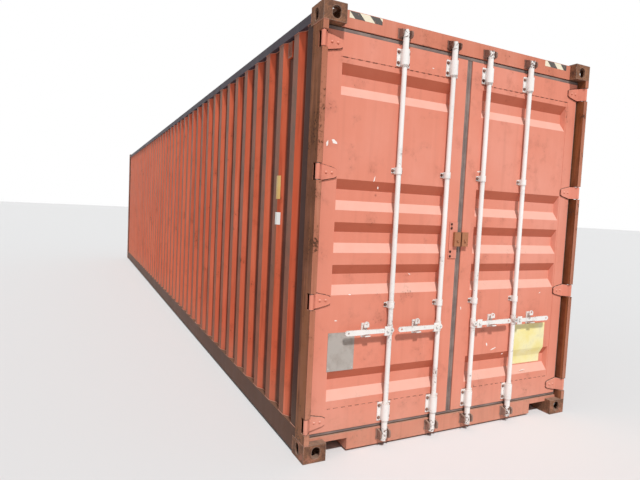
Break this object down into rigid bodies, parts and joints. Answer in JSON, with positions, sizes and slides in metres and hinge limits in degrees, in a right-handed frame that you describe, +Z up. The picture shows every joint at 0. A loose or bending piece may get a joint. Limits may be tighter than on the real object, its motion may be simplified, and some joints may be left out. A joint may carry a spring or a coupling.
{
  "type": "shipping container",
  "caption": "Long high steel freight box with corrugated walls, ribbed roof, corner castings, swinging end doors with locking bars, lifting handles, seals and a plywood floor.",
  "frame": {"origin": "centre of the footprint, on the ground under the corner fittings", "axes": "+X along the length towards the doors, +Y across the width (right as one faces the doors), +Z up"},
  "size_m": [12.192, 2.438, 2.896],
  "materials": {
    "fitting_rust": "rough, brown rust over cast steel",
    "post_rust": "rusty brown paint, worn",
    "frame_paint": "dusty red-brown paint",
    "wall_paint": "faded orange-red paint",
    "door_paint": "faded orange-red paint, sunlit",
    "gear_white": "chalky white paint with scuffs",
    "gasket_grey": "grey rubber seal",
    "ply": "oiled plywood",
    "base_dark": "dark brown primer, dusty",
    "plate_grey": "dull bare plate",
    "pin_steel": "bright worn steel",
    "hasp_rust": "rusty paint"
  },
  "bodies": {
    "container": {"top_corner_fittings": "fitting_rust", "bottom_corner_fittings": "fitting_rust", "rear_corner_posts": "post_rust", "rear_post_liners": "post_rust", "front_corner_posts": "post_rust", "door_header": "frame_paint", "door_sill": "frame_paint", "cam_keepers": "gear_white", "bottom_side_rails": "frame_paint", "top_side_rails": "frame_paint", "left_side_wall": "wall_paint", "right_side_wall": "wall_paint", "front_wall": "wall_paint", "front_header": "frame_paint", "front_sill": "base_dark", "roof_sheet_panels": "wall_paint", "roof_doubler_plates": "frame_paint", "crossmembers": "base_dark", "gooseneck_tunnel": "base_dark", "gooseneck_side_walls": "base_dark", "floor_boards": "ply", "floor_side_angles": "base_dark", "side_vents": "wall_paint", "hinge_pins": "pin_steel"},
    "left_door": {"left_door_frame": "door_paint", "left_door_panel": "door_paint", "left_door_gasket": "gasket_grey", "left_hinge_blades": "door_paint", "left_bar_brackets": "gear_white", "left_handle_catches": "gear_white", "left_lock_plate": "hasp_rust", "left_data_plate": "plate_grey"},
    "left_outer_bar": {"left_outer_bar": "gear_white"},
    "left_outer_handle": {"left_outer_handle": "gear_white"},
    "left_inner_bar": {"left_inner_bar": "gear_white"},
    "left_inner_handle": {"left_inner_handle": "gear_white"},
    "right_door": {"right_door_frame": "door_paint", "right_door_panel": "door_paint", "right_door_gasket": "gasket_grey", "right_hinge_blades": "door_paint", "right_bar_brackets": "gear_white", "right_handle_catches": "gear_white", "right_lock_plate": "hasp_rust"},
    "right_outer_bar": {"right_outer_bar": "gear_white"},
    "right_outer_handle": {"right_outer_handle": "gear_white"},
    "right_inner_bar": {"right_inner_bar": "gear_white"},
    "right_inner_handle": {"right_inner_handle": "gear_white"}
  },
  "joints": [
    {"name": "left_door_hinge", "type": "hinge", "parent": "container", "child": "left_door", "pos_m": [6.081, -1.204, 1.454], "axis": [0, 0, -1], "range_deg": [0, 264]},
    {"name": "left_outer_bar_turn", "type": "hinge", "parent": "left_door", "child": "left_outer_bar", "pos_m": [6.063, -0.588, 1.44], "axis": [0, 0, -1], "range_deg": [-100, 0]},
    {"name": "left_outer_handle_lift", "type": "hinge", "parent": "left_outer_bar", "child": "left_outer_handle", "pos_m": [6.0885, -0.588, 0.828], "axis": [1, 0, 0], "range_deg": [-35, 0]},
    {"name": "left_inner_bar_turn", "type": "hinge", "parent": "left_door", "child": "left_inner_bar", "pos_m": [6.063, -0.168, 1.44], "axis": [0, 0, -1], "range_deg": [-100, 0]},
    {"name": "left_inner_handle_lift", "type": "hinge", "parent": "left_inner_bar", "child": "left_inner_handle", "pos_m": [6.0885, -0.168, 0.828], "axis": [1, 0, 0], "range_deg": [-35, 0]},
    {"name": "right_door_hinge", "type": "hinge", "parent": "container", "child": "right_door", "pos_m": [6.081, 1.204, 1.454], "axis": [0, 0, 1], "range_deg": [0, 264]},
    {"name": "right_outer_bar_turn", "type": "hinge", "parent": "right_door", "child": "right_outer_bar", "pos_m": [6.063, 0.588, 1.44], "axis": [0, 0, 1], "range_deg": [-100, 0]},
    {"name": "right_outer_handle_lift", "type": "hinge", "parent": "right_outer_bar", "child": "right_outer_handle", "pos_m": [6.0885, 0.588, 0.828], "axis": [-1, 0, 0], "range_deg": [-35, 0]},
    {"name": "right_inner_bar_turn", "type": "hinge", "parent": "right_door", "child": "right_inner_bar", "pos_m": [6.063, 0.168, 1.44], "axis": [0, 0, 1], "range_deg": [-100, 0]},
    {"name": "right_inner_handle_lift", "type": "hinge", "parent": "right_inner_bar", "child": "right_inner_handle", "pos_m": [6.0885, 0.168, 0.828], "axis": [-1, 0, 0], "range_deg": [-35, 0]}
  ]
}
